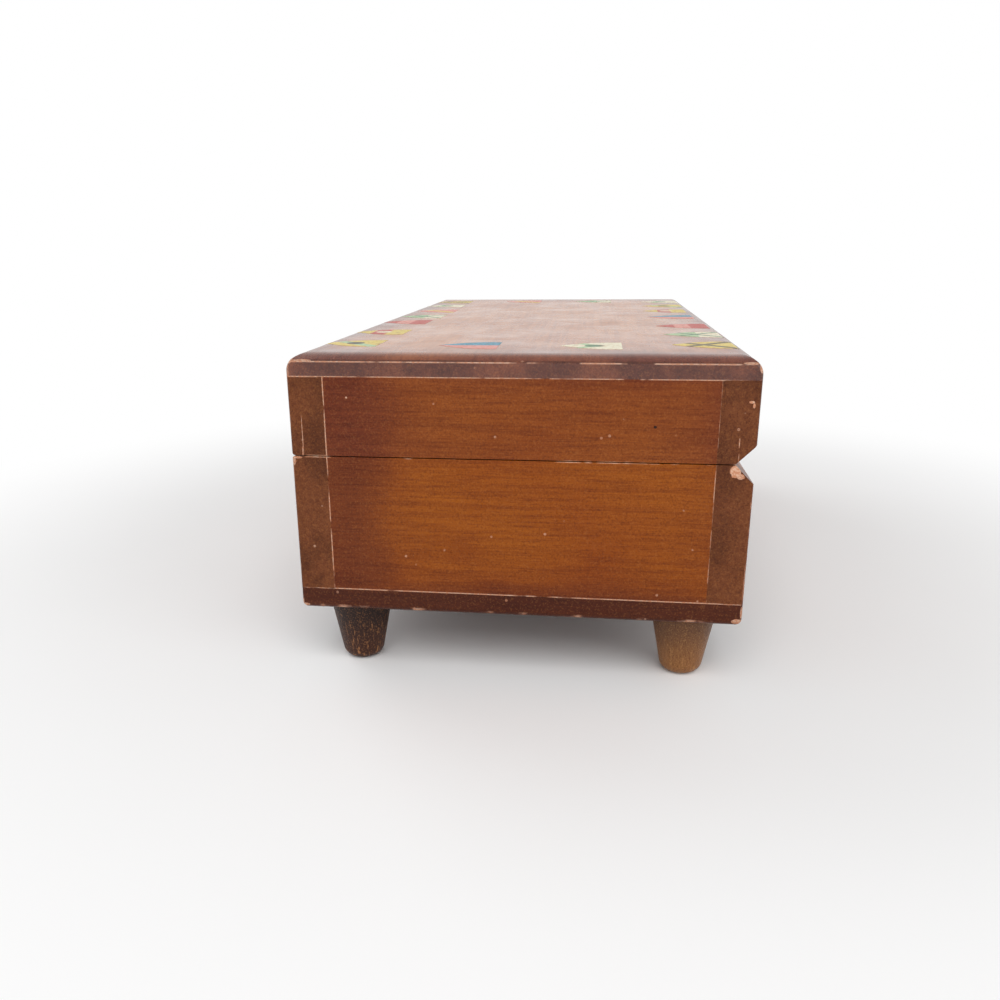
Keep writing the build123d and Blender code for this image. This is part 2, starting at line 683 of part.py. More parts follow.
# Winding arbor, great wheel and key turn together
with BuildPart() as great_wheel:
    with BuildSketch(Plane.XY.offset(Z_GREAT)):
        with Locations((MOVE_X, BARREL_Y)):
            Circle(GREAT_R)
            Circle(SQUARE_R, mode=Mode.SUBTRACT)
    extrude(amount=GREAT_THICK)
    with BuildSketch(Plane.XY.offset(Z_CROWN)):
        with Locations((MOVE_X, BARREL_Y)):
            with PolarLocations((GREAT_R + CROWN_IN_R) / 2, GREAT_TEETH):
                Rectangle(GREAT_R - CROWN_IN_R, 0.55)
    extrude(amount=CROWN_H, taper=6)
save(great_wheel.part, "great_wheel")

with BuildPart() as winding_arbor:
    with BuildSketch(Plane.XZ.offset(-BARREL_Y)):
        with BuildLine():
            Polyline(
                (MOVE_X, KEY_TOP),
                (MOVE_X + SQUARE_R, KEY_TOP),
                (MOVE_X + SQUARE_R, Z_CROWN + 1.2),
                (MOVE_X + ARBOR_BODY_R, Z_CROWN + 1.2),
                (MOVE_X + ARBOR_BODY_R, Z_CUP + SPRING_H - 1.6),
                (MOVE_X + ARBOR_TIP_R, Z_CUP + SPRING_H - 1.6),
                (MOVE_X + ARBOR_TIP_R, Z_CUP + SPRING_H + 0.8),
                (MOVE_X, Z_CUP + SPRING_H + 0.8),
                close=True,
            )
        make_face()
    revolve(axis=Axis((MOVE_X, BARREL_Y, 0), (0, 0, 1)))
save(winding_arbor.part, "winding_arbor")

with BuildPart() as winding_key:
    with BuildSketch(Plane.XY.offset(KEY_TOP)):
        with Locations((MOVE_X, BARREL_Y)):
            Circle(KEY_STEM_R)
    extrude(amount=-4.0)
    # Butterfly wings: two lobes joined at the stem
    with BuildSketch(Plane.XZ.offset(-BARREL_Y - KEY_THICK / 2)):
        lobe = (KEY_TOP - 3.0 - KEY_LOW) / 2
        with Locations((MOVE_X, KEY_LOW + lobe)):
            with GridLocations(KEY_W - 2 * lobe, 1, 2, 1):
                Circle(lobe)
            Rectangle(KEY_W - 3 * lobe, 2 * lobe)
        with Locations((MOVE_X, KEY_LOW)):
            Circle(2.6, mode=Mode.SUBTRACT)
    extrude(amount=KEY_THICK)
    with BuildSketch(Plane.XY.offset(KEY_TOP)):
        with Locations((MOVE_X, BARREL_Y)):
            Circle(SQUARE_R)
    extrude(amount=-(KEY_TOP - Z_UNDER + 6.5), mode=Mode.SUBTRACT)
save(winding_key.part, "winding_key")

# Pinned drum on its arbor, with the wheel that the great wheel drives and the output wheel
with BuildPart() as drum_arbor:
    with BuildSketch(cross_plane(-9.3)):
        with Locations((MOVE_X, Z_DRUM)):
            Circle(ARBOR_R)
    extrude(amount=-31.7)
save(drum_arbor.part, "drum_arbor")

with BuildPart() as drum_wheel:
    with BuildSketch(cross_plane(-9.1)):
        toothed_face(MOVE_X, Z_DRUM, DRUM_TEETH, DRUM_MESH_R, 0.5, 0.26, -90 + 180 / DRUM_TEETH)
        with Locations((MOVE_X, Z_DRUM)):
            Circle(ARBOR_R, mode=Mode.SUBTRACT)
    extrude(amount=-1.9)
save(drum_wheel.part, "drum_wheel")

angle_mid = degrees(atan2(MID_Z - Z_DRUM, MID_X - MOVE_X))
with BuildPart() as output_wheel:
    with BuildSketch(cross_plane(17.4)):
        toothed_face(MOVE_X, Z_DRUM, OUTPUT_TEETH, MODULE * OUTPUT_TEETH / 2, MODULE, 0.36, angle_mid)
        with Locations((MOVE_X, Z_DRUM)):
            Circle(ARBOR_R, mode=Mode.SUBTRACT)
    extrude(amount=-1.2)
save(output_wheel.part, "output_wheel")

# Pins stand in eighteen tracks, spread by a fixed step and kept off the comb's line
PIN_STEP = 137.5
PIN_SPREAD = 113.0
PINS_PER_TRACK = 3
PIN_OUT = 0.6
PIN_SUNK = 0.3
with BuildPart() as music_drum:
    with BuildSketch(cross_plane(DRUM_Y[0])):
        with Locations((MOVE_X, Z_DRUM)):
            Circle(DRUM_R)
            Circle(ARBOR_R, mode=Mode.SUBTRACT)
    extrude(amount=-(DRUM_Y[1] - DRUM_Y[0]))
    for track in range(PIN_TRACKS):
        track_y = DRUM_Y[0] + (DRUM_Y[1] - DRUM_Y[0]) * (track + 0.5) / PIN_TRACKS
        for pin in range(PINS_PER_TRACK):
            turn = (track * PIN_STEP + pin * PIN_SPREAD) % 360
            off_line = (turn + 10) % 90
            if off_line > 20:
                out = Vector(cos(radians(turn)), 0, sin(radians(turn)))
                foot_point = Vector(MOVE_X, track_y, Z_DRUM) + out * (DRUM_R - PIN_SUNK)
                with BuildSketch(Plane(foot_point, x_dir=(0, 1, 0), z_dir=out)):
                    RegularPolygon(0.25, 4)
                extrude(amount=PIN_OUT + PIN_SUNK)
save(music_drum.part, "music_drum")

# Comb: eighteen tapered teeth cut in one plate
TOOTH_PITCH = (DRUM_Y[1] - DRUM_Y[0]) / PIN_TRACKS
with BuildPart() as comb:
    with BuildSketch(Plane.XY.offset(COMB_Z)):
        with Locations((COMB_X, COMB_Y)):
            Rectangle(COMB_W, 26.0)
        for tooth in range(PIN_TRACKS):
            tooth_y = DRUM_Y[0] + TOOTH_PITCH * (tooth + 0.5)
            root_x = TOOTH_ROOT_X - 0.28 * tooth
            tip_x = MOVE_X + DRUM_R + 0.95
            with BuildLine():
                Polyline(
                    (TOOTH_ROOT_X, tooth_y - 0.42),
                    (TOOTH_ROOT_X, tooth_y + 0.42),
                    (tip_x, tooth_y + 0.25),
                    (tip_x, tooth_y - 0.25),
                    close=True,
                )
            make_face()
            with Locations(((root_x + TOOTH_ROOT_X) / 2, tooth_y)):
                Rectangle(TOOTH_ROOT_X + 0.2 - root_x, TOOTH_PITCH)
        with Locations(*COMB_SCREWS):
            Circle(COMB_SCREW_R, mode=Mode.SUBTRACT)
    extrude(amount=COMB_THICK)
save(comb.part, "comb")

with BuildPart() as comb_screws:
    with BuildSketch(Plane.XY.offset(COMB_Z + COMB_THICK)):
        with Locations(*COMB_SCREWS):
            Circle(COMB_HEAD_R)
    extrude(amount=1.3)
    with BuildSketch(Plane.XY.offset(COMB_Z + COMB_THICK)):
        with Locations(*COMB_SCREWS):
            Circle(COMB_SCREW_R)
    extrude(amount=-5.0)
save(comb_screws.part, "comb_screws")

# Middle arbor: pinion, and the wheel that drives the worm
with BuildPart() as middle_pinion:
    with BuildSketch(cross_plane(PINION_Y)):
        pinion_turn = angle_mid + 180 + 180 / PINION_TEETH
        toothed_face(MID_X, MID_Z, PINION_TEETH, MODULE * PINION_TEETH / 2, MODULE, 0.36, pinion_turn)
    extrude(amount=-1.6)
    with BuildSketch(cross_plane(PINION_Y)):
        with Locations((MID_X, MID_Z)):
            Circle(MID_ARBOR_R)
    extrude(amount=PINION_Y - BRACKET_Y - BRACKET_THICK - 0.2)
save(middle_pinion.part, "middle_pinion")

with BuildPart() as middle_wheel:
    with BuildSketch(cross_plane(WORM_Y - 0.5)):
        toothed_face(MID_X, MID_Z, WORM_WHEEL_TEETH, MODULE * WORM_WHEEL_TEETH / 2, MODULE, 0.32, 0)
        with Locations((MID_X, MID_Z)):
            Circle(MID_ARBOR_R, mode=Mode.SUBTRACT)
    extrude(amount=-1.0)
save(middle_wheel.part, "middle_wheel")

# Governor: bracket, worm and fly
with BuildPart() as governor_bracket:
    with BuildSketch(cross_plane(BRACKET_Y)):
        with Locations((MOVE_X - 5.0, (Z_PLATE + ARM_Z + ARM_THICK) / 2)):
            Rectangle(16.0, ARM_Z + ARM_THICK - Z_PLATE)
        with Locations((MOVE_X - 11.0, ARM_Z - 3.0)):
            Rectangle(8.0, 12.0, mode=Mode.SUBTRACT)
        with Locations((MID_X, MID_Z)):
            Circle(MID_BOSS_R)
            Circle(MID_ARBOR_R + BEARING_PLAY, mode=Mode.SUBTRACT)
    extrude(amount=-BRACKET_THICK)
    for z in (Z_PLATE, ARM_Z):
        with BuildSketch(Plane.XY.offset(z)):
            with Locations((WORM_X, (WORM_Y + BRACKET_Y + 0.2) / 2)):
                Rectangle(5.0, BRACKET_Y + 0.2 - WORM_Y)
            with Locations((WORM_X, WORM_Y)):
                Circle(2.5)
                Circle(WORM_PIVOT_R + BEARING_PLAY, mode=Mode.SUBTRACT)
        extrude(amount=ARM_THICK)
save(governor_bracket.part, "governor_bracket")

with BuildPart() as worm:
    with BuildSketch(Plane.XY.offset(Z_PLATE + 0.2)):
        with Locations((WORM_X, WORM_Y)):
            Circle(WORM_PIVOT_R)
    extrude(amount=ARM_Z + 0.6 - Z_PLATE)
    with BuildSketch(Plane.XY.offset(Z_PLATE + 1.3)):
        with Locations((WORM_X, WORM_Y)):
            Circle(WORM_CORE_R)
    extrude(amount=ARM_Z - 0.3 - Z_PLATE - 1.3)
    turns = 4 / WORM_STARTS
    lead = WORM_PITCH * WORM_STARTS
    thread_low = MID_Z - turns * lead / 2
    for start in range(WORM_STARTS):
        angle = 360 * start / WORM_STARTS
        out = Vector(1, 0, 0).rotate(Axis.Z, angle)
        begin = Vector(WORM_X, WORM_Y, thread_low)
        with BuildLine(Plane(begin, x_dir=out, z_dir=(0, 0, 1))):
            Helix(lead, turns * lead, 1.0)
        with BuildSketch(Plane(begin + out, x_dir=out, z_dir=out.rotate(Axis.Z, 90))):
            with Locations((0.45, 0)):
                Trapezoid(0.5, 0.9, 80, rotation=-90)
        sweep(is_frenet=True)
save(worm.part, "worm")

with BuildPart() as fly:
    with BuildSketch(Plane.XY.offset(FLY_Z)):
        with Locations((WORM_X, WORM_Y)):
            Circle(FLY_HUB_R)
            Rectangle(2 * FLY_R, FLY_THICK)
            Circle(WORM_CORE_R, mode=Mode.SUBTRACT)
    extrude(amount=FLY_H)
save(fly.part, "fly")

# Stop plunger: a pin in the left end board with a wire that reaches the fly
with BuildPart() as stop_plunger:
    with BuildSketch(Plane.XY.offset(STOP_LOW)):
        with Locations((STOP_X, STOP_Y)):
            Circle(STOP_R)
    extrude(amount=Z_RIM - STOP_LOW)
    chamfer(stop_plunger.edges().sort_by(Axis.Z)[-1], 0.4)
save(stop_plunger.part, "stop_plunger")

with BuildPart() as stop_wire:
    with BuildLine() as wire_path:
        FilletPolyline(
            (STOP_X, STOP_Y, WIRE_Z),
            (STOP_X + 8.0, STOP_Y, WIRE_Z),
            (WORM_X - FLY_R + 0.8, WORM_Y + 1.0, WIRE_Z),
            radius=3.0,
        )
    with BuildSketch(Plane(origin=(STOP_X, STOP_Y, WIRE_Z), z_dir=(1, 0, 0))):
        Circle(WIRE_R)
    sweep()
    with Locations((STOP_X, STOP_Y, WIRE_Z)):
        Cylinder(STOP_R, 4.0, mode=Mode.SUBTRACT)
save(stop_wire.part, "stop_wire")
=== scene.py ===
import json
import math

import bmesh
import bpy
from mathutils import Matrix, Vector


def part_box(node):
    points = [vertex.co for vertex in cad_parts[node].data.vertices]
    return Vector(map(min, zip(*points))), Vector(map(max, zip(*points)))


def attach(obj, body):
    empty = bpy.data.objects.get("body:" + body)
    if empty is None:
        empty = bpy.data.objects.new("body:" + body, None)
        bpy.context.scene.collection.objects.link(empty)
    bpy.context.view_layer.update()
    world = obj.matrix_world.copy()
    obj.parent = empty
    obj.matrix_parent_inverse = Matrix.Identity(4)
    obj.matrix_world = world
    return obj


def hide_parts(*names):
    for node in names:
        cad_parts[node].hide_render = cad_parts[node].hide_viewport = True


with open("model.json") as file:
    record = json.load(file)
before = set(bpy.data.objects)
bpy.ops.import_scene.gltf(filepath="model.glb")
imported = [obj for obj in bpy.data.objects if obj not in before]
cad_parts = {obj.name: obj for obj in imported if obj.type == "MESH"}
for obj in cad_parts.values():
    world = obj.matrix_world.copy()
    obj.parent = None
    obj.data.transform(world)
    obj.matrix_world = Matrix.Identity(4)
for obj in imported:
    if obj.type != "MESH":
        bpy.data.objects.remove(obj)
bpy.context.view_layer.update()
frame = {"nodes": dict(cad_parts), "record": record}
NODES = frame["nodes"]
MM = 0.001

# Places read from the frame
TOP_LOW, TOP_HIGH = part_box("lid_top_board")
LID_LOW, LID_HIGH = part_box("lid_right_end")
BASE_LOW, BASE_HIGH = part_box("base_right_end")
FLOOR_BOARD_LOW, FLOOR_BOARD_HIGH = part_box("bottom_board")
HALF_L = TOP_HIGH.x
HALF_W = TOP_HIGH.y
WALL = HALF_L - LID_LOW.x
IN_Y = HALF_W - WALL
Z_TOP = TOP_HIGH.z
EDGE_ROUND_W = 5.0 * MM
EDGE_ROUND_H = 4.5 * MM
END_FALL = 1.8 * MM
BOTTOM_ROUND = 0.9 * MM
WHITE = (1.0, 1.0, 1.0, 1.0)


def srgb(red, green, blue):
    """Linear colour of an 8-bit screen colour."""
    def channel(value):
        value /= 255
        return value / 12.92 if value <= 0.04045 else ((value + 0.055) / 1.055) ** 2.4
    return (channel(red), channel(green), channel(blue), 1.0)


class Signal:
    """A value socket that takes Python arithmetic."""

    def __init__(self, recipe, socket):
        self.recipe = recipe
        self.socket = socket

    def maths(self, operation, *values, clamp=False):
        settings = {"operation": operation, "use_clamp": clamp}
        return self.recipe.node("ShaderNodeMath", settings, list(values))

    def __add__(self, other):
        return self.maths("ADD", self, other)

    def __radd__(self, other):
        return self.maths("ADD", other, self)

    def __sub__(self, other):
        return self.maths("SUBTRACT", self, other)

    def __rsub__(self, other):
        return self.maths("SUBTRACT", other, self)

    def __mul__(self, other):
        return self.maths("MULTIPLY", self, other)

    def __rmul__(self, other):
        return self.maths("MULTIPLY", other, self)

    def __truediv__(self, other):
        return self.maths("DIVIDE", self, other)

    def __abs__(self):
        return self.maths("ABSOLUTE", self)

    def __gt__(self, other):
        return self.maths("GREATER_THAN", self, other)

    def root(self):
        return self.maths("SQRT", self)

    def most(self, other):
        return self.maths("MAXIMUM", self, other)

    def clamped(self):
        return self.maths("ADD", self, 0.0, clamp=True)

    def rise(self, low, high):
        """0 at low, 1 at high, smooth between; low may be the larger one."""
        settings = {"interpolation_type": "SMOOTHSTEP"}
        ends = [low, high, 0.0, 1.0] if low < high else [high, low, 1.0, 0.0]
        return self.recipe.node("ShaderNodeMapRange", settings, [self] + ends)


class Recipe:
    """One material or world, its owner: its nodes, and the maths between them."""

    def __init__(self, name, owner=None):
        self.owner = owner or bpy.data.materials.new(name)
        self.owner.use_nodes = True
        self.tree = self.owner.node_tree
        self.tree.nodes.clear()
        self.place = self.node("ShaderNodeTexCoord", {}, [], output="Object")

    def node(self, kind, settings, values, output=0):
        """Adds a node, and returns the given output of it, if it has any."""
        made = self.tree.nodes.new(kind)
        for key, value in settings.items():
            setattr(made, key, value)
        pairs = values.items() if isinstance(values, dict) else enumerate(values)
        for socket, value in pairs:
            if isinstance(value, Signal):
                self.tree.links.new(value.socket, made.inputs[socket])
            elif value is not None:
                made.inputs[socket].default_value = value
        return Signal(self, made.outputs[output]) if len(made.outputs) else None

    def split(self, place=None):
        """Coordinates by axis. Small letters are distances from the middle of the box."""
        parts = {}
        for axis in "XYZ":
            parts[axis] = self.node("ShaderNodeSeparateXYZ", {}, [place or self.place], output=axis)
        parts["x"] = abs(parts["X"])
        parts["y"] = abs(parts["Y"])
        return parts

    def stretched(self, scale):
        return self.node("ShaderNodeMapping", {}, {"Vector": self.place, "Scale": scale})

    def noise(self, scale, detail=3.0, rough=0.55, distortion=0.0, place=None):
        sockets = {"Vector": place or self.place, "Scale": scale, "Detail": detail}
        sockets.update({"Roughness": rough, "Distortion": distortion})
        return self.node("ShaderNodeTexNoise", {}, sockets)

    def dots(self, scale, size):
        """Small round spots, one at most in each cell of the given scale."""
        far = self.node("ShaderNodeTexVoronoi", {"feature": "F1"}, {"Vector": self.place, "Scale": scale})
        return far.rise(size, size * 0.5)

    def mix(self, share, first, second, how="MIX"):
        """Colour between first (share 0) and second (share 1)."""
        settings = {"data_type": "RGBA", "blend_type": how}
        return self.node("ShaderNodeMix", settings, {0: share, 6: first, 7: second}, output=2)

    def shaded(self, share, colour, shade):
        return self.mix(share, colour, shade, "MULTIPLY")

    def bump(self, height, depth):
        return self.node("ShaderNodeBump", {}, {"Height": height, "Distance": depth, "Strength": 1.0})

    def surface(self, **sockets):
        """Principled shader on the output; underscores stand for spaces in socket names."""
        named = {key.replace("_", " "): value for key, value in sockets.items()}
        return self.shown(self.node("ShaderNodeBsdfPrincipled", {}, named))

    def shown(self, shader):
        self.node("ShaderNodeOutputMaterial", {}, {"Surface": shader})
        return self.owner


# Lacquered wood. Scales of its noises are per metre
FIBRE_SCALE = 3400.0
STREAK_SCALE = 760.0
GRIT_SCALE = 2300.0
CLOUD_SCALE = 26.0
RAGGED_SCALE = 1500.0
PATCH_SCALE = 95.0
LONG_GRAIN = 0.035
END_GRAIN_SCALE = 60.0
END_GRAIN_DEEP = 1.2 * MM
END_GRAIN_SKIN = 0.5 * MM
CHIP_DEPTH = 2.5 * MM
LACQUER_RELIEF = 0.06 * MM
FOOT_RELIEF = 0.12 * MM
RAW = srgb(190, 130, 98)
RAW_PALE = srgb(212, 170, 144)
PORE = srgb(120, 78, 58)
# Near-black tone of the small dark spot on the lid end
DARK_SPOT_TONE = srgb(40, 20, 14)


def worn_edges(at, edges, ragged, patches):
    """Lacquer worn through along edges. An edge is where two coordinates meet two values:
    (axis, value, axis, value, width, threshold of the wear, strength)."""
    worn = None
    for first, value, second, other, width, threshold, strength in edges:
        away = abs(at[first] - value).most(abs(at[second] - other)) / width
        line = (away + (ragged - 0.5) * 1.3).rise(1.25, 0.45)
        mark = line * patches.rise(threshold - 0.04, threshold + 0.08) * strength
        worn = mark if worn is None else worn.most(mark)
    return worn


def chips(at, spots, ragged):
    """Chips on the end faces, each (y, z, half width, half height, strength) in mm."""
    worn = None
    for y, z, half_y, half_z, strength in spots:
        across = abs(at["Y"] - y * MM) / (half_y * MM)
        tall = abs(at["Z"] - z * MM) / (half_z * MM)
        inside = (across * across + tall * tall + (ragged - 0.5) * 1.4).rise(1.15, 0.75)
        mark = inside * (at["x"] > HALF_L - CHIP_DEPTH) * strength
        worn = mark if worn is None else worn.most(mark)
    return worn


def lacquer(name, grain, tones, burst, edges, spots=(), end_tone=None, dark_spots=(),
            ior=1.27, gloss=0.3, coat=0.0):
    """Lacquered board. tones are the middle, the rim and the darkest rim of its sunburst,
    burst the (axis, middle, half size, start) of each direction in which it darkens."""
    r = Recipe(name)
    at = r.split()
    fibre = r.stretched([LONG_GRAIN if axis == grain else 1.0 for axis in "XYZ"])
    fine = r.noise(FIBRE_SCALE, 2.0, 0.6, place=fibre)
    streak = r.noise(STREAK_SCALE, 3.0, 0.6, 0.5, place=fibre)
    grit = r.noise(GRIT_SCALE, 1.0, 0.5)
    cloud = r.noise(CLOUD_SCALE, 2.0, 0.5)
    ragged = r.noise(RAGGED_SCALE, 2.0, 0.6)
    patches = r.noise(PATCH_SCALE, 3.0, 0.7)
    reach = None
    for axis, middle, half, start in burst:
        far = (abs(at[axis] - middle) / half + (cloud - 0.5) * 0.35).rise(start, 1.08)
        reach = far if reach is None else reach.most(far)
    middle_tone, rim_tone, dark_tone = tones
    body = r.mix(reach, middle_tone, rim_tone)
    body = r.mix((reach - 0.55).clamped() * 1.5, body, dark_tone)
    body = r.shaded((cloud - 0.42).clamped() * 1.6, body, srgb(214, 176, 150))
    if end_tone:
        first, second = end_tone
        end_grain = r.mix(r.noise(END_GRAIN_SCALE, 3.0, 0.6).rise(0.38, 0.62), first, second)
        at_end = at["x"].rise(HALF_L - END_GRAIN_DEEP, HALF_L - END_GRAIN_SKIN)
        body = r.mix(at_end, body, end_grain)
    body = r.shaded((0.60 - streak).rise(0.0, 0.25) * 0.42, body, srgb(190, 156, 132))
    body = r.shaded((fine - 0.5).rise(0.0, 0.2) * 0.5, body, srgb(188, 150, 126))
    body = r.shaded((grit - 0.56).rise(0.0, 0.12) * 0.3, body, PORE)
    body = r.mix((0.44 - grit).rise(0.0, 0.12) * 0.07, body, srgb(216, 150, 84))
    worn = worn_edges(at, edges, ragged, patches)
    rare = r.noise(130.0, 1.0, 0.5).rise(0.60, 0.66)
    worn = worn.most(r.dots(260.0, 0.13) * rare * 0.5)
    if spots:
        worn = worn.most(chips(at, spots, ragged))
    worn = worn.clamped()
    colour = r.mix(worn, body, r.mix(ragged.rise(0.4, 0.6), RAW, RAW_PALE))
    # Small near-black ovals laid over the colour where dark_spots are given
    if dark_spots:
        colour = r.mix(chips(at, dark_spots, ragged), colour, DARK_SPOT_TONE)
    relief = fine * 0.3 + streak * 0.3 + cloud * 2.0 + patches * 0.8 - worn * 1.2
    roughness = ((r.noise(70.0, 3.0, 0.6) - 0.5) * 0.35 + gloss + worn * 0.5).clamped()
    return r.surface(Base_Color=colour, Roughness=roughness, Normal=r.bump(relief, LACQUER_RELIEF),
                     IOR=ior, Coat_Weight=coat, Coat_Roughness=0.15)


END_GRAIN = (srgb(92, 48, 22), srgb(112, 62, 32))
BASE_MID = (BASE_LOW.z + BASE_HIGH.z) / 2
LID_HALF = (LID_HIGH.z - LID_LOW.z) / 2
BASE_HALF = (BASE_HIGH.z - BASE_LOW.z) / 2

lid_end_wood = lacquer(
    "lacquer_lid_end", "Y",
    (srgb(136, 70, 20), srgb(120, 58, 24), srgb(104, 47, 26)),
    [("Y", 8 * MM, IN_Y, 0.35), ("Z", LID_LOW.z + 5 * MM, LID_HALF * 1.9, 0.35)],
    [
        ("Y", -IN_Y, "x", HALF_L, 0.24 * MM, 0.38, 0.95),
        ("Y", IN_Y, "x", HALF_L, 0.14 * MM, 0.56, 0.5),
        ("Z", LID_HIGH.z, "x", HALF_L, 0.18 * MM, 0.40, 0.8),
        ("Z", LID_LOW.z, "x", HALF_L, 0.16 * MM, 0.56, 0.6),
    ],
    [(-46.0, 81.5, 0.3, 0.3, 0.8)], dark_spots=[(36.3, 74.8, 0.45, 0.4, 1.0)],
)
base_end_wood = lacquer(
    "lacquer_base_end", "Y",
    (srgb(146, 76, 10), srgb(126, 61, 17), srgb(98, 44, 20)),
    [("Y", 10 * MM, IN_Y, 0.5), ("Z", BASE_HIGH.z - 12 * MM, BASE_HALF * 1.5, 0.5)],
    [
        ("Y", -IN_Y, "x", HALF_L, 0.22 * MM, 0.44, 0.9),
        ("Y", IN_Y, "x", HALF_L, 0.15 * MM, 0.50, 0.7),
        ("Z", BASE_HIGH.z, "x", HALF_L, 0.24 * MM, 0.53, 0.8),
        ("Z", BASE_LOW.z, "x", HALF_L, 0.20 * MM, 0.38, 0.8),
    ],
)


def long_board(name, low_z, high_z, side, spots):
    """Front or back board: sunburst on its face, dull end grain on its ends."""
    face = side * HALF_W
    inner = side * IN_Y
    edges = [
        ("Y", face, "x", HALF_L, 0.45 * MM, 0.52, 0.9),
        ("Y", inner, "x", HALF_L, 0.14 * MM, 0.46, 0.7),
        ("Z", high_z, "x", HALF_L, 0.24 * MM, 0.48, 0.8),
        ("Z", low_z, "x", HALF_L, 0.20 * MM, 0.48, 0.7),
        ("Z", high_z, "Y", face, 0.40 * MM, 0.52, 0.8),
        ("Z", low_z, "Y", face, 0.40 * MM, 0.52, 0.8),
    ]
    tones = (srgb(146, 78, 20), srgb(122, 60, 24), srgb(98, 44, 26))
    middle, half = (low_z + high_z) / 2, (high_z - low_z) / 2
    burst = [("X", 0.0, HALF_L, 0.6), ("Z", middle, half, 0.55)]
    return lacquer(name, "X", tones, burst, edges, spots, END_GRAIN)


SCRATCH = [(-58.95, 70.5, 0.13, 6.4, 0.7), (-59.2, 66.0, 0.12, 1.8, 0.8)]
PAINT_CHIP = [(60.2, 81.6, 0.7, 0.35, 1.0), (60.8, 80.7, 0.3, 0.7, 1.0)]
NOTCH_CHIP = [(57.6, 63.4, 1.5, 1.7, 1.0), (58.9, 62.0, 1.0, 0.8, 0.9)]
LID_BACK_MARKS = [(57.9, 71.0, 0.16, 1.4, 0.7), (58.0, 67.0, 0.12, 1.2, 0.5)]
BASE_CORNER = [(-62.1, 63.8, 0.8, 1.5, 0.7), (-60.9, 64.7, 1.4, 0.35, 0.8)]
lid_front_wood = long_board("lacquer_lid_front", LID_LOW.z, LID_HIGH.z, -1, SCRATCH)
lid_back_wood = long_board("lacquer_lid_back", LID_LOW.z, LID_HIGH.z, 1, PAINT_CHIP + LID_BACK_MARKS)
base_front_wood = long_board("lacquer_base_front", BASE_LOW.z, BASE_HIGH.z, -1, BASE_CORNER)
base_back_wood = long_board("lacquer_base_back", BASE_LOW.z, BASE_HIGH.z, 1, NOTCH_CHIP)

TOP_CORNERS = [
    (-61.9, 91.3, 1.3, 0.9, 0.8),
    (-58.0, 91.3, 2.6, 0.28, 0.8),
    (62.1, 90.6, 0.7, 1.8, 0.8),
    (59.4, 91.3, 2.0, 0.3, 0.8),
]
top_wood = lacquer(
    "lacquer_top", "X",
    (srgb(196, 122, 56), srgb(140, 72, 44), srgb(92, 44, 42)),
    [("X", 0.0, HALF_L, 0.66), ("Y", 0.0, HALF_W, 0.55)],
    [
        ("Z", Z_TOP - END_FALL, "x", HALF_L, 0.24 * MM, 0.44, 0.85),
        ("Z", TOP_LOW.z, "x", HALF_L, 0.16 * MM, 0.42, 0.7),
        ("Z", TOP_LOW.z, "y", HALF_W, 0.25 * MM, 0.48, 0.7),
        ("y", HALF_W, "x", HALF_L, 0.9 * MM, 0.50, 0.9),
    ],
    TOP_CORNERS, (srgb(86, 40, 26), srgb(116, 62, 40)), ior=1.5, gloss=0.27, coat=0.25,
)
BOTTOM_CORNERS = [(61.2, 20.9, 1.6, 0.8, 0.8), (62.2, 23.6, 0.4, 1.8, 0.7), (-61.6, 20.6, 1.4, 0.5, 0.8)]
bottom_wood = lacquer(
    "lacquer_bottom", "Y",
    (srgb(88, 40, 17), srgb(82, 37, 17), srgb(76, 34, 17)),
    [("X", 0.0, HALF_L, 0.8), ("Y", 0.0, HALF_W, 0.8)],
    [
        ("Z", FLOOR_BOARD_HIGH.z, "x", HALF_L, 0.20 * MM, 0.38, 0.8),
        ("Z", FLOOR_BOARD_HIGH.z, "y", HALF_W, 0.22 * MM, 0.46, 0.7),
        ("Z", FLOOR_BOARD_LOW.z + BOTTOM_ROUND, "x", HALF_L - 0.5 * MM, 0.55 * MM, 0.56, 0.8),
        ("Z", FLOOR_BOARD_LOW.z + BOTTOM_ROUND, "y", HALF_W - 0.5 * MM, 0.55 * MM, 0.56, 0.8),
        ("y", HALF_W, "x", HALF_L, 0.6 * MM, 0.50, 0.9),
    ],
    BOTTOM_CORNERS,
)
inner_wood = lacquer(
    "varnished_inner", "Y", (srgb(150, 92, 48), srgb(132, 78, 40), srgb(116, 66, 34)),
    [("Z", BASE_MID, 50 * MM, 0.8)],
    [("Z", BASE_HIGH.z - 4 * MM, "X", -60 * MM, 0.3 * MM, 0.5, 0.5)], ior=1.4,
)


def foot(name, dark, mid, light, contrast, gloss):
    """Turned foot: streaks of pale grain show where the stain has rubbed thin."""
    r = Recipe(name)
    at = r.split()
    fibre = r.stretched((1.0, 1.0, 0.16))
    streak = r.noise(1300.0, 3.0, 0.65, 0.4, place=fibre)
    fine = r.noise(FIBRE_SCALE, 2.0, 0.6, place=fibre)
    grit = r.noise(2600.0, 1.0, 0.5)
    low = at["Z"].rise(17 * MM, 3 * MM)
    body = r.mix(low, dark, mid)
    rubbed = (streak - 0.60 + low * 0.06).rise(0.0, 0.12) * contrast
    body = r.mix(rubbed, body, light)
    body = r.shaded((fine - 0.5).rise(0.0, 0.2) * 0.6, body, srgb(168, 130, 106))
    body = r.mix((0.44 - grit).rise(0.0, 0.1) * 0.3, body, light)
    rough = ((grit - 0.5) * 0.4 + gloss).clamped()
    normal = r.bump(streak + fine * 0.6, FOOT_RELIEF)
    return r.surface(Base_Color=body, Roughness=rough, Normal=normal, IOR=1.35)


dark_foot = foot("stained_foot", srgb(34, 15, 9), srgb(58, 28, 15), srgb(160, 108, 66), 0.8, 0.5)
gold_foot = foot("rubbed_foot", srgb(98, 64, 40), srgb(132, 86, 46), srgb(176, 128, 76), 0.35, 0.42)

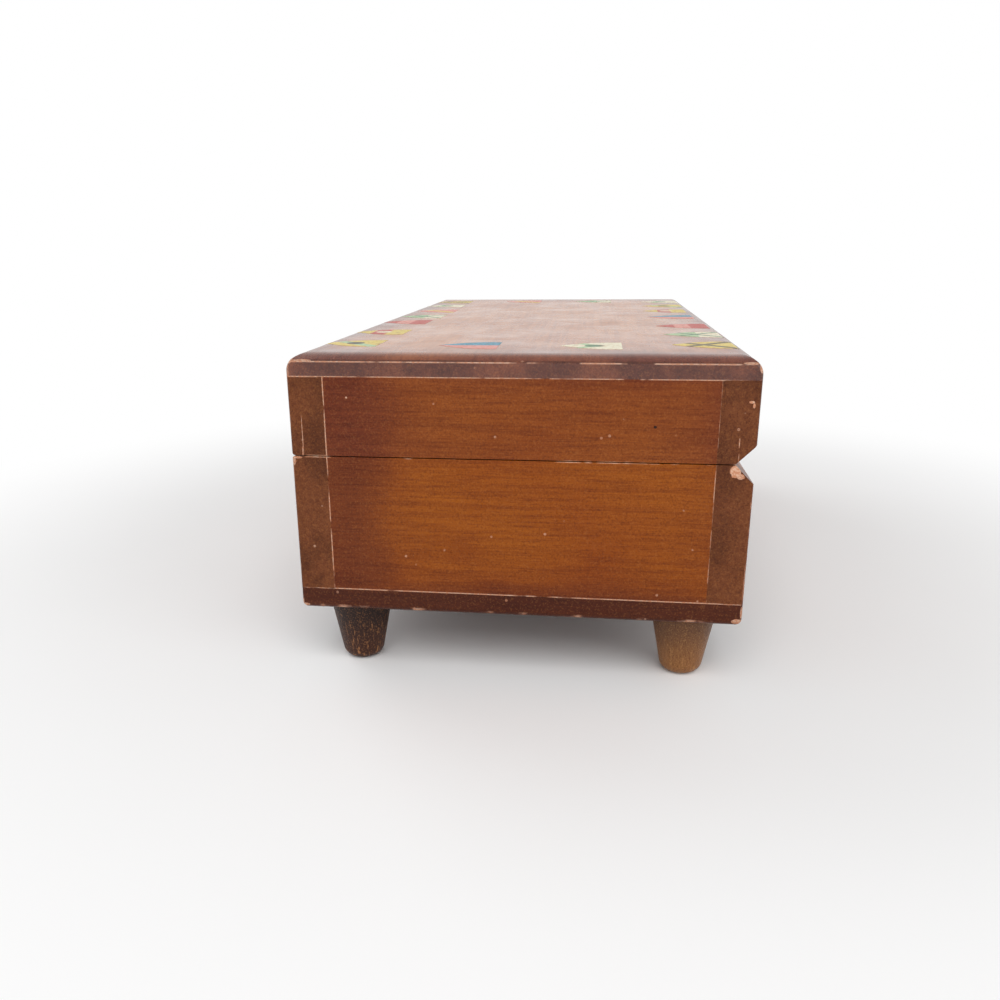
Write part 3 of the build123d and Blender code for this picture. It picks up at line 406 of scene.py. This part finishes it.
FINISH = {
    "lid_left_end": lid_end_wood,
    "lid_right_end": lid_end_wood,
    "base_left_end": base_end_wood,
    "base_right_end": base_end_wood,
    "lid_front_board": lid_front_wood,
    "lid_back_board": lid_back_wood,
    "base_front_board": base_front_wood,
    "base_back_board": base_back_wood,
    "lid_top_board": top_wood,
    "bottom_board": bottom_wood,
    "partition": inner_wood,
    "foot_front_left": dark_foot,
    "foot_front_right": dark_foot,
    "foot_back_left": gold_foot,
    "foot_back_right": gold_foot,
}
for side in ("front", "back", "left", "right"):
    FINISH["mirror_bead_" + side] = inner_wood


# Metal, glass and velvet
METAL_RELIEF = 0.02 * MM
PILE_RELIEF = 0.2 * MM


def metal(name, bright, dull, gloss, marks=0.2):
    """Old metal: bright where it is rubbed, dull in patches, with fine scratches."""
    r = Recipe(name)
    film = r.noise(420.0, 3.0, 0.6)
    scratch = r.noise(2400.0, 2.0, 0.5, place=r.stretched((1.0, 0.06, 1.0)))
    tint = r.mix(film.rise(0.42, 0.72), bright, dull)
    rough = (film.rise(0.4, 0.7) * marks + scratch * 0.12 + gloss).clamped()
    normal = r.bump(scratch + film, METAL_RELIEF)
    return r.surface(Base_Color=tint, Metallic=1.0, Roughness=rough, Normal=normal)


def silvering(name):
    """Mirror with faint haze and a few dark specks where the silvering has failed."""
    r = Recipe(name)
    haze = r.noise(60.0, 2.0, 0.5).rise(0.5, 0.8)
    speck = r.dots(160.0, 0.06)
    tint = r.mix(speck, srgb(230, 234, 234), srgb(120, 112, 104))
    return r.surface(Base_Color=tint, Metallic=1.0, Roughness=haze * 0.03 + speck * 0.3)


def clear_glass(name):
    """Clear pane with a little dust."""
    r = Recipe(name)
    dust = r.noise(300.0, 3.0, 0.6).rise(0.45, 0.8)
    tint = srgb(236, 244, 240)
    return r.surface(Base_Color=tint, Roughness=dust * 0.05, Transmission_Weight=1.0, IOR=1.45)


def velvet(name, deep, tip):
    """Short pile that is crushed darker and lighter in patches."""
    r = Recipe(name)
    pile = r.noise(2600.0, 2.0, 0.7)
    crush = r.noise(90.0, 3.0, 0.6, 0.8)
    tone = r.mix((crush.rise(0.34, 0.66) * 0.7 + pile * 0.3).clamped(), deep, tip)
    normal = r.bump(pile + crush * 0.6, PILE_RELIEF)
    return r.surface(Base_Color=tone, Roughness=0.92, Normal=normal, Sheen_Weight=0.5,
                     Sheen_Roughness=0.35, IOR=1.2)


red_velvet = velvet("red_velvet", srgb(88, 12, 22), srgb(146, 30, 44))
brass = metal("aged_brass", srgb(208, 168, 88), srgb(146, 104, 50), 0.2)
SLOT_FINISH = {
    "brass": brass,
    "brass_screw": brass,
    "steel": metal("bright_steel", srgb(196, 196, 198), srgb(146, 142, 136), 0.16),
    "movement_casting": metal("plated_casting", srgb(188, 172, 130), srgb(138, 122, 90), 0.3),
    "key_steel": metal("nickel_key", srgb(200, 194, 180), srgb(136, 126, 108), 0.18),
    "mirror": silvering("silvered_mirror"),
    "clear_glass": clear_glass("clear_pane"),
    "velvet": red_velvet,
}
SLOT_OF = {part["node"]: part["material_slot"] for part in frame["record"]["subparts"]}
for node, thing in NODES.items():
    thing.data.materials.clear()
    thing.data.materials.append(FINISH.get(node) or SLOT_FINISH[SLOT_OF[node]])


def keep(bm, name, materials, smooth=True):
    """Makes the bmesh an object at the origin."""
    bmesh.ops.recalc_face_normals(bm, faces=bm.faces[:])
    for face in bm.faces:
        face.smooth = smooth
    data = bpy.data.meshes.new(name)
    bm.to_mesh(data)
    bm.free()
    for material in materials:
        data.materials.append(material)
    thing = bpy.data.objects.new(name, data)
    bpy.context.scene.collection.objects.link(thing)
    return thing


def made_only(made, kind):
    """What an operator made, of one kind."""
    return [item for item in made["geom"] if isinstance(item, kind)]


# Velvet pieces
PANEL_CUTS = 36
ROLL_SIDES = 32
ROLL_ROWS = 44
FLOOR_DRAW_IN = 0.8 * MM
LINING_DRAW_IN = 0.7 * MM


def velvet_panel(node, axis, side, draw_in):
    """Thin padded panel: its open face is crowned and drawn in all round, with soft puckers."""
    low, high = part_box(node)
    size, middle = high - low, (high + low) / 2
    bm = bmesh.new()
    place = Matrix.Translation(middle) @ Matrix.Diagonal((size.x, size.y, size.z, 1.0))
    bmesh.ops.create_cube(bm, size=1.0, matrix=place)
    bmesh.ops.subdivide_edges(bm, edges=bm.edges[:], cuts=PANEL_CUTS, use_grid_fill=True)
    flat = [k for k in range(3) if k != axis]
    face = high[axis] if side > 0 else low[axis]
    for vert in bm.verts:
        share = [(vert.co[k] - middle[k]) / (size[k] / 2) for k in flat]
        crown = (1 - abs(share[0]) ** 14) * (1 - abs(share[1]) ** 14)
        pucker = math.sin(share[0] * 31 + 2.3 * math.sin(share[1] * 9)) * math.sin(share[1] * 23) * 0.12
        if abs(vert.co[axis] - face) < size[axis] * 0.01:
            vert.co[axis] -= side * draw_in * (1 - crown * (0.86 + pucker))
    panel = keep(bm, "velvet_" + node, [red_velvet])
    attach(panel, "case")
    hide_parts(node)


def velvet_roll(node):
    """Stuffed ring roll: round on top, square below, gathered at both ends."""
    low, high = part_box(node)
    half = (high.x - low.x) / 2
    centre_z = high.z - half
    depth = centre_z - low.z
    middle_x = (low.x + high.x) / 2
    bm = bmesh.new()
    bmesh.ops.create_circle(bm, segments=ROLL_SIDES, radius=1.0)
    for vert in bm.verts:
        across, tall = vert.co.x, vert.co.y
        if tall < 0:
            squeeze = max(abs(across), abs(tall)) ** 0.75
            across, tall = across / squeeze, tall / squeeze * depth / half
        vert.co = Vector((across * half, low.y, tall * half))
    loop = bm.edges[:]
    for row in range(ROLL_ROWS):
        made = bmesh.ops.extrude_edge_only(bm, edges=loop)
        loop = [edge for edge in made_only(made, bmesh.types.BMEdge) if edge.is_boundary]
        fresh = made_only(made, bmesh.types.BMVert)
        bmesh.ops.translate(bm, vec=(0, (high.y - low.y) / ROLL_ROWS, 0), verts=fresh)
    for vert in bm.verts:
        along = (vert.co.y - low.y) / (high.y - low.y) * 2 - 1
        angle = math.atan2(vert.co.z, vert.co.x)
        gather = 1 - abs(along) ** 16 * (0.30 + 0.05 * math.sin(angle * 11))
        gather *= 0.988 - 0.012 * math.sin(along * 23 + angle * 2)
        tall = vert.co.z * gather if vert.co.z > 0 else vert.co.z
        vert.co.x = middle_x + vert.co.x * gather
        vert.co.z = centre_z + max(tall, -depth)
    bmesh.ops.holes_fill(bm, edges=[edge for edge in bm.edges if edge.is_boundary], sides=0)
    roll = keep(bm, "velvet_" + node, [red_velvet])
    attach(roll, "case")
    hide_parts(node)


velvet_panel("well_floor_pad", 2, 1, FLOOR_DRAW_IN)
velvet_panel("lining_front", 1, 1, LINING_DRAW_IN)
velvet_panel("lining_back", 1, -1, LINING_DRAW_IN)
velvet_panel("lining_left", 0, 1, LINING_DRAW_IN)
velvet_panel("lining_right", 0, -1, LINING_DRAW_IN)
for number in range(1, 5):
    velvet_roll(f"ring_roll_{number}")

# Painted shields round the lid, in plain heraldic divisions
SHIELD_W = 17.0 * MM
SHIELD_H = 17.3 * MM
SHIELD_BORDER = 0.55 * MM
SHOULDER_ROUND = 5.5 * MM
PAINT_THICK = 0.05 * MM
PAINT_RELIEF = 0.03 * MM
BEND_STEP = 0.7 * MM
PAINT = {
    "cream": srgb(238, 232, 204),
    "yellow": srgb(226, 202, 96),
    "pale_green": srgb(176, 206, 160),
    "green": srgb(70, 120, 78),
    "red": srgb(196, 70, 58),
    "pink": srgb(228, 150, 138),
    "blue": srgb(70, 148, 176),
    "olive": srgb(110, 96, 48),
    "dark": srgb(48, 40, 30),
}


def division(kind, u, v):
    """Share of the second colour over a shield; u and v run from -1 to 1, v up to its head."""
    if kind == "pale":
        return u > 0.0
    if kind == "fess":
        return 0.3 - abs(v) > 0.0
    if kind == "head":
        return v > 0.2
    if kind == "bend":
        return 0.28 - abs(u - v) > 0.0
    if kind == "chevron":
        return 0.2 - abs(v + abs(u) * 0.9 - 0.2) > 0.0
    if kind == "saltire":
        return 0.2 - abs(abs(u) - abs(v)) > 0.0
    return 0.28 - (u * u + v * v) > 0.0


def shield_paint(name, ground, second, kind, charge=None):
    """Old transfer paint: mottled, yellowed and rubbed, with its pattern by the shield's UV."""
    r = Recipe(name)
    at = r.split(r.node("ShaderNodeUVMap", {"uv_map": "shield"}, []))
    u = at["X"] * 2.0 - 1.0
    v = at["Y"] * 2.0 - 1.0
    colour = r.mix(division(kind, u, v), PAINT[ground], PAINT[second])
    if charge:
        motif, tone = charge
        colour = r.mix(division(motif, u * 1.7, (v - 0.1) * 1.7), colour, PAINT[tone])
    mottle = r.noise(900.0, 3.0, 0.7)
    colour = r.shaded(mottle.rise(0.45, 0.7) * 0.6, colour, srgb(206, 176, 130))
    rubbed = r.noise(520.0, 3.0, 0.75).rise(0.60, 0.66) * 0.75
    colour = r.mix(rubbed, colour, srgb(140, 84, 56))
    rough = (mottle * 0.3 + 0.25).clamped()
    return r.surface(Base_Color=colour, Roughness=rough, Normal=r.bump(mottle, PAINT_RELIEF), IOR=1.45)


def border_paint(name):
    """Thin printed line round a shield, faded in places."""
    r = Recipe(name)
    faded = r.noise(700.0, 3.0, 0.7).rise(0.4, 0.6)
    tint = r.mix(faded, srgb(92, 96, 56), srgb(196, 190, 140))
    return r.surface(Base_Color=tint, Roughness=0.4, IOR=1.45)


shield_border = border_paint("shield_border")
DESIGNS = [
    shield_paint("shield_yellow_bend", "yellow", "pale_green", "bend", ("roundel", "dark")),
    shield_paint("shield_pink_blue", "blue", "pink", "pale"),
    shield_paint("shield_cream_chevron", "cream", "pale_green", "chevron", ("roundel", "green")),
    shield_paint("shield_yellow_saltire", "yellow", "olive", "saltire"),
    shield_paint("shield_yellow_red", "yellow", "red", "fess", ("roundel", "cream")),
    shield_paint("shield_red_fess", "red", "pink", "fess"),
    shield_paint("shield_green_cream", "pale_green", "cream", "head", ("saltire", "green")),
    shield_paint("shield_pink_yellow", "pink", "yellow", "bend"),
]


def lid_drop(y):
    """How far the lid's surface lies under its top at this y, on the rounded long edges."""
    over = min(max(abs(y) - (HALF_W - EDGE_ROUND_W), 0.0) / EDGE_ROUND_W, 1.0)
    return EDGE_ROUND_H * (1 - math.sqrt(1 - over * over))


def shield(name, x, y, design):
    """Flat head to the back, point to the front, laid on the lid and over its rounded edge."""
    bm = bmesh.new()
    corners = [(-0.5, 0.5), (-0.5, 0.02), (0.0, -0.5), (0.5, 0.02), (0.5, 0.5)]
    verts = [bm.verts.new((x + u * SHIELD_W, y + v * SHIELD_H, 0.0)) for u, v in corners]
    bm.faces.new(verts)
    bmesh.ops.bevel(bm, geom=[verts[1], verts[3]], offset=SHOULDER_ROUND, segments=6, profile=0.5,
                    affect="VERTICES", material=-1)
    bmesh.ops.inset_region(bm, faces=bm.faces[:], thickness=SHIELD_BORDER, use_even_offset=True)
    middle = Vector((x, y, 0.0))
    inner = min(bm.faces, key=lambda face: (face.calc_center_median() - middle).length)
    for face in bm.faces:
        face.material_index = 0 if face == inner else 1
    for step in range(-3, 4):
        cut = math.copysign(HALF_W - EDGE_ROUND_W, y) + step * BEND_STEP
        geometry = bm.verts[:] + bm.edges[:] + bm.faces[:]
        bmesh.ops.bisect_plane(bm, geom=geometry, plane_co=(0, cut, 0), plane_no=(0, 1, 0))
    layer = bm.loops.layers.uv.new("shield")
    for face in bm.faces:
        for loop in face.loops:
            place = loop.vert.co
            loop[layer].uv = ((place.x - x) / SHIELD_W + 0.5, (place.y - y) / SHIELD_H + 0.5)
    bmesh.ops.triangulate(bm, faces=bm.faces[:])
    for vert in bm.verts:
        vert.co.z = Z_TOP - lid_drop(vert.co.y) - PAINT_THICK
    geometry = bm.verts[:] + bm.edges[:] + bm.faces[:]
    made = bmesh.ops.extrude_face_region(bm, geom=geometry, use_keep_orig=True)
    lifted = made_only(made, bmesh.types.BMVert)
    bmesh.ops.translate(bm, vec=(0, 0, 2 * PAINT_THICK), verts=lifted)
    painted = keep(bm, name, [design, shield_border], smooth=False)
    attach(painted, "lid")


END_ROW = [(96.4, -51.2), (100.9, -15.8), (100.6, 19.0), (96.7, 50.4)]
FRONT_ROW = [(61.4, -50.7), (21.7, -50.7), (-4.8, -49.5), (-35.5, -49.0), (-68.0, -50.5)]
BACK_ROW = [(66.7, 50.1), (36.5, 49.6), (-3.0, 48.5), (-35.3, 48.5), (-67.0, 49.8)]
FAR_ROW = [(-97.0, -50.8), (-100.5, -16.0), (-100.8, 18.6), (-96.5, 50.2)]
ORDER = [0, 1, 2, 3, 4, 5, 6, 7, 2, 6, 5, 1, 4, 0, 3, 7, 6, 2]
for count, (x, y) in enumerate(END_ROW + FRONT_ROW + BACK_ROW + FAR_ROW):
    shield(f"painted_shield_{count + 1}", x * MM, y * MM, DESIGNS[ORDER[count]])

# Camera at the photograph's angle
CAMERA_X = 355.1 * MM
CAMERA_Y = 20.05 * MM
CAMERA_ABOVE_BOX = 100.95 * MM
YAW = math.radians(7.747)
PITCH = math.radians(17.781)
ROLL = math.radians(0.572)
FOCAL_PIXELS = 880.354
CENTRE_PIXEL = (475.068, 526.951)
PICTURE = 1000.0
SENSOR = 36.0

forward = Vector((-1.0, 0.0, 0.0))
right = Vector((0.0, 1.0, 0.0))
up = Vector((0.0, 0.0, 1.0))
turn = Matrix.Rotation(YAW, 3, up)
forward, right = turn @ forward, turn @ right
turn = Matrix.Rotation(-PITCH, 3, right)
forward, up = turn @ forward, turn @ up
turn = Matrix.Rotation(ROLL, 3, forward)
right, up = turn @ right, turn @ up

camera_data = bpy.data.cameras.new("photo_camera")
camera = bpy.data.objects.new("photo_camera", camera_data)
bpy.context.scene.collection.objects.link(camera)
camera.location = (CAMERA_X, CAMERA_Y, FLOOR_BOARD_LOW.z + CAMERA_ABOVE_BOX)
camera.rotation_euler = Matrix((right, up, -forward)).transposed().to_euler()
camera_data.sensor_width = SENSOR
camera_data.lens = FOCAL_PIXELS * SENSOR / PICTURE
camera_data.shift_x = (PICTURE / 2 - CENTRE_PIXEL[0]) / PICTURE
camera_data.shift_y = (CENTRE_PIXEL[1] - PICTURE / 2) / PICTURE
camera_data.clip_start = 0.01
bpy.context.scene.camera = camera


# Floor, lamps and world
FLOOR_HALF = 3.0
SHADOW_FADES = 0.16
SHADOW_GONE = 0.34
LAMP_AIM = Vector((0.0, 0.0, 0.05))
DIM_HEIGHT = 0.75
BRIGHT_HEIGHT = 0.28
SKY_DIM = 0.36
SKY_GAIN = 0.6


def pale_floor():
    """Pale floor that keeps the shadow, and fades to the white of the background."""
    bm = bmesh.new()
    bmesh.ops.create_grid(bm, x_segments=1, y_segments=1, size=FLOOR_HALF)
    r = Recipe("pale_floor")
    at = r.split()
    far = (at["X"] * at["X"] + at["Y"] * at["Y"]).root()
    tone = r.mix(r.noise(8.0, 2.0), srgb(246, 246, 246), srgb(250, 250, 250))
    plain = r.node("ShaderNodeBsdfDiffuse", {}, {"Color": tone})
    white = r.node("ShaderNodeEmission", {}, {"Color": WHITE, "Strength": 1.0})
    seen = r.node("ShaderNodeLightPath", {}, [], output="Is Camera Ray")
    share = far.rise(SHADOW_FADES, SHADOW_GONE) * seen
    r.shown(r.node("ShaderNodeMixShader", {}, [share, plain, white]))
    keep(bm, "pale_floor", [r.owner])


def lamp(name, place, size, power):
    """Square soft lamp aimed at the box."""
    data = bpy.data.lights.new(name, "AREA")
    data.energy = power
    data.size = size
    thing = bpy.data.objects.new(name, data)
    thing.location = place
    thing.rotation_euler = (LAMP_AIM - Vector(place)).to_track_quat("-Z", "Y").to_euler()
    bpy.context.scene.collection.objects.link(thing)


def studio_sky():
    """Bright near the horizon and dimmer overhead; the camera sees plain white."""
    sky = Recipe("studio", bpy.data.worlds.new("studio"))
    bpy.context.scene.world = sky.owner
    direction = sky.node("ShaderNodeTexCoord", {}, [], output="Generated")
    height = sky.node("ShaderNodeSeparateXYZ", {}, [direction], output="Z")
    seen = sky.node("ShaderNodeLightPath", {}, [], output="Is Camera Ray")
    strength = height.rise(DIM_HEIGHT, BRIGHT_HEIGHT) * SKY_GAIN + SKY_DIM
    strength = strength * (1.0 - seen) + seen
    background = sky.node("ShaderNodeBackground", {}, {"Color": WHITE, "Strength": strength})
    sky.node("ShaderNodeOutputWorld", {}, {"Surface": background})


pale_floor()
lamp("key_lamp", (1.1, 0.1, 1.3), 1.2, 12.0)
lamp("fill_lamp", (0.9, 1.2, 0.8), 1.0, 4.0)
lamp("side_lamp", (-0.9, -1.2, 1.0), 1.0, 6.0)
studio_sky()
bpy.context.scene.view_settings.view_transform = "Standard"
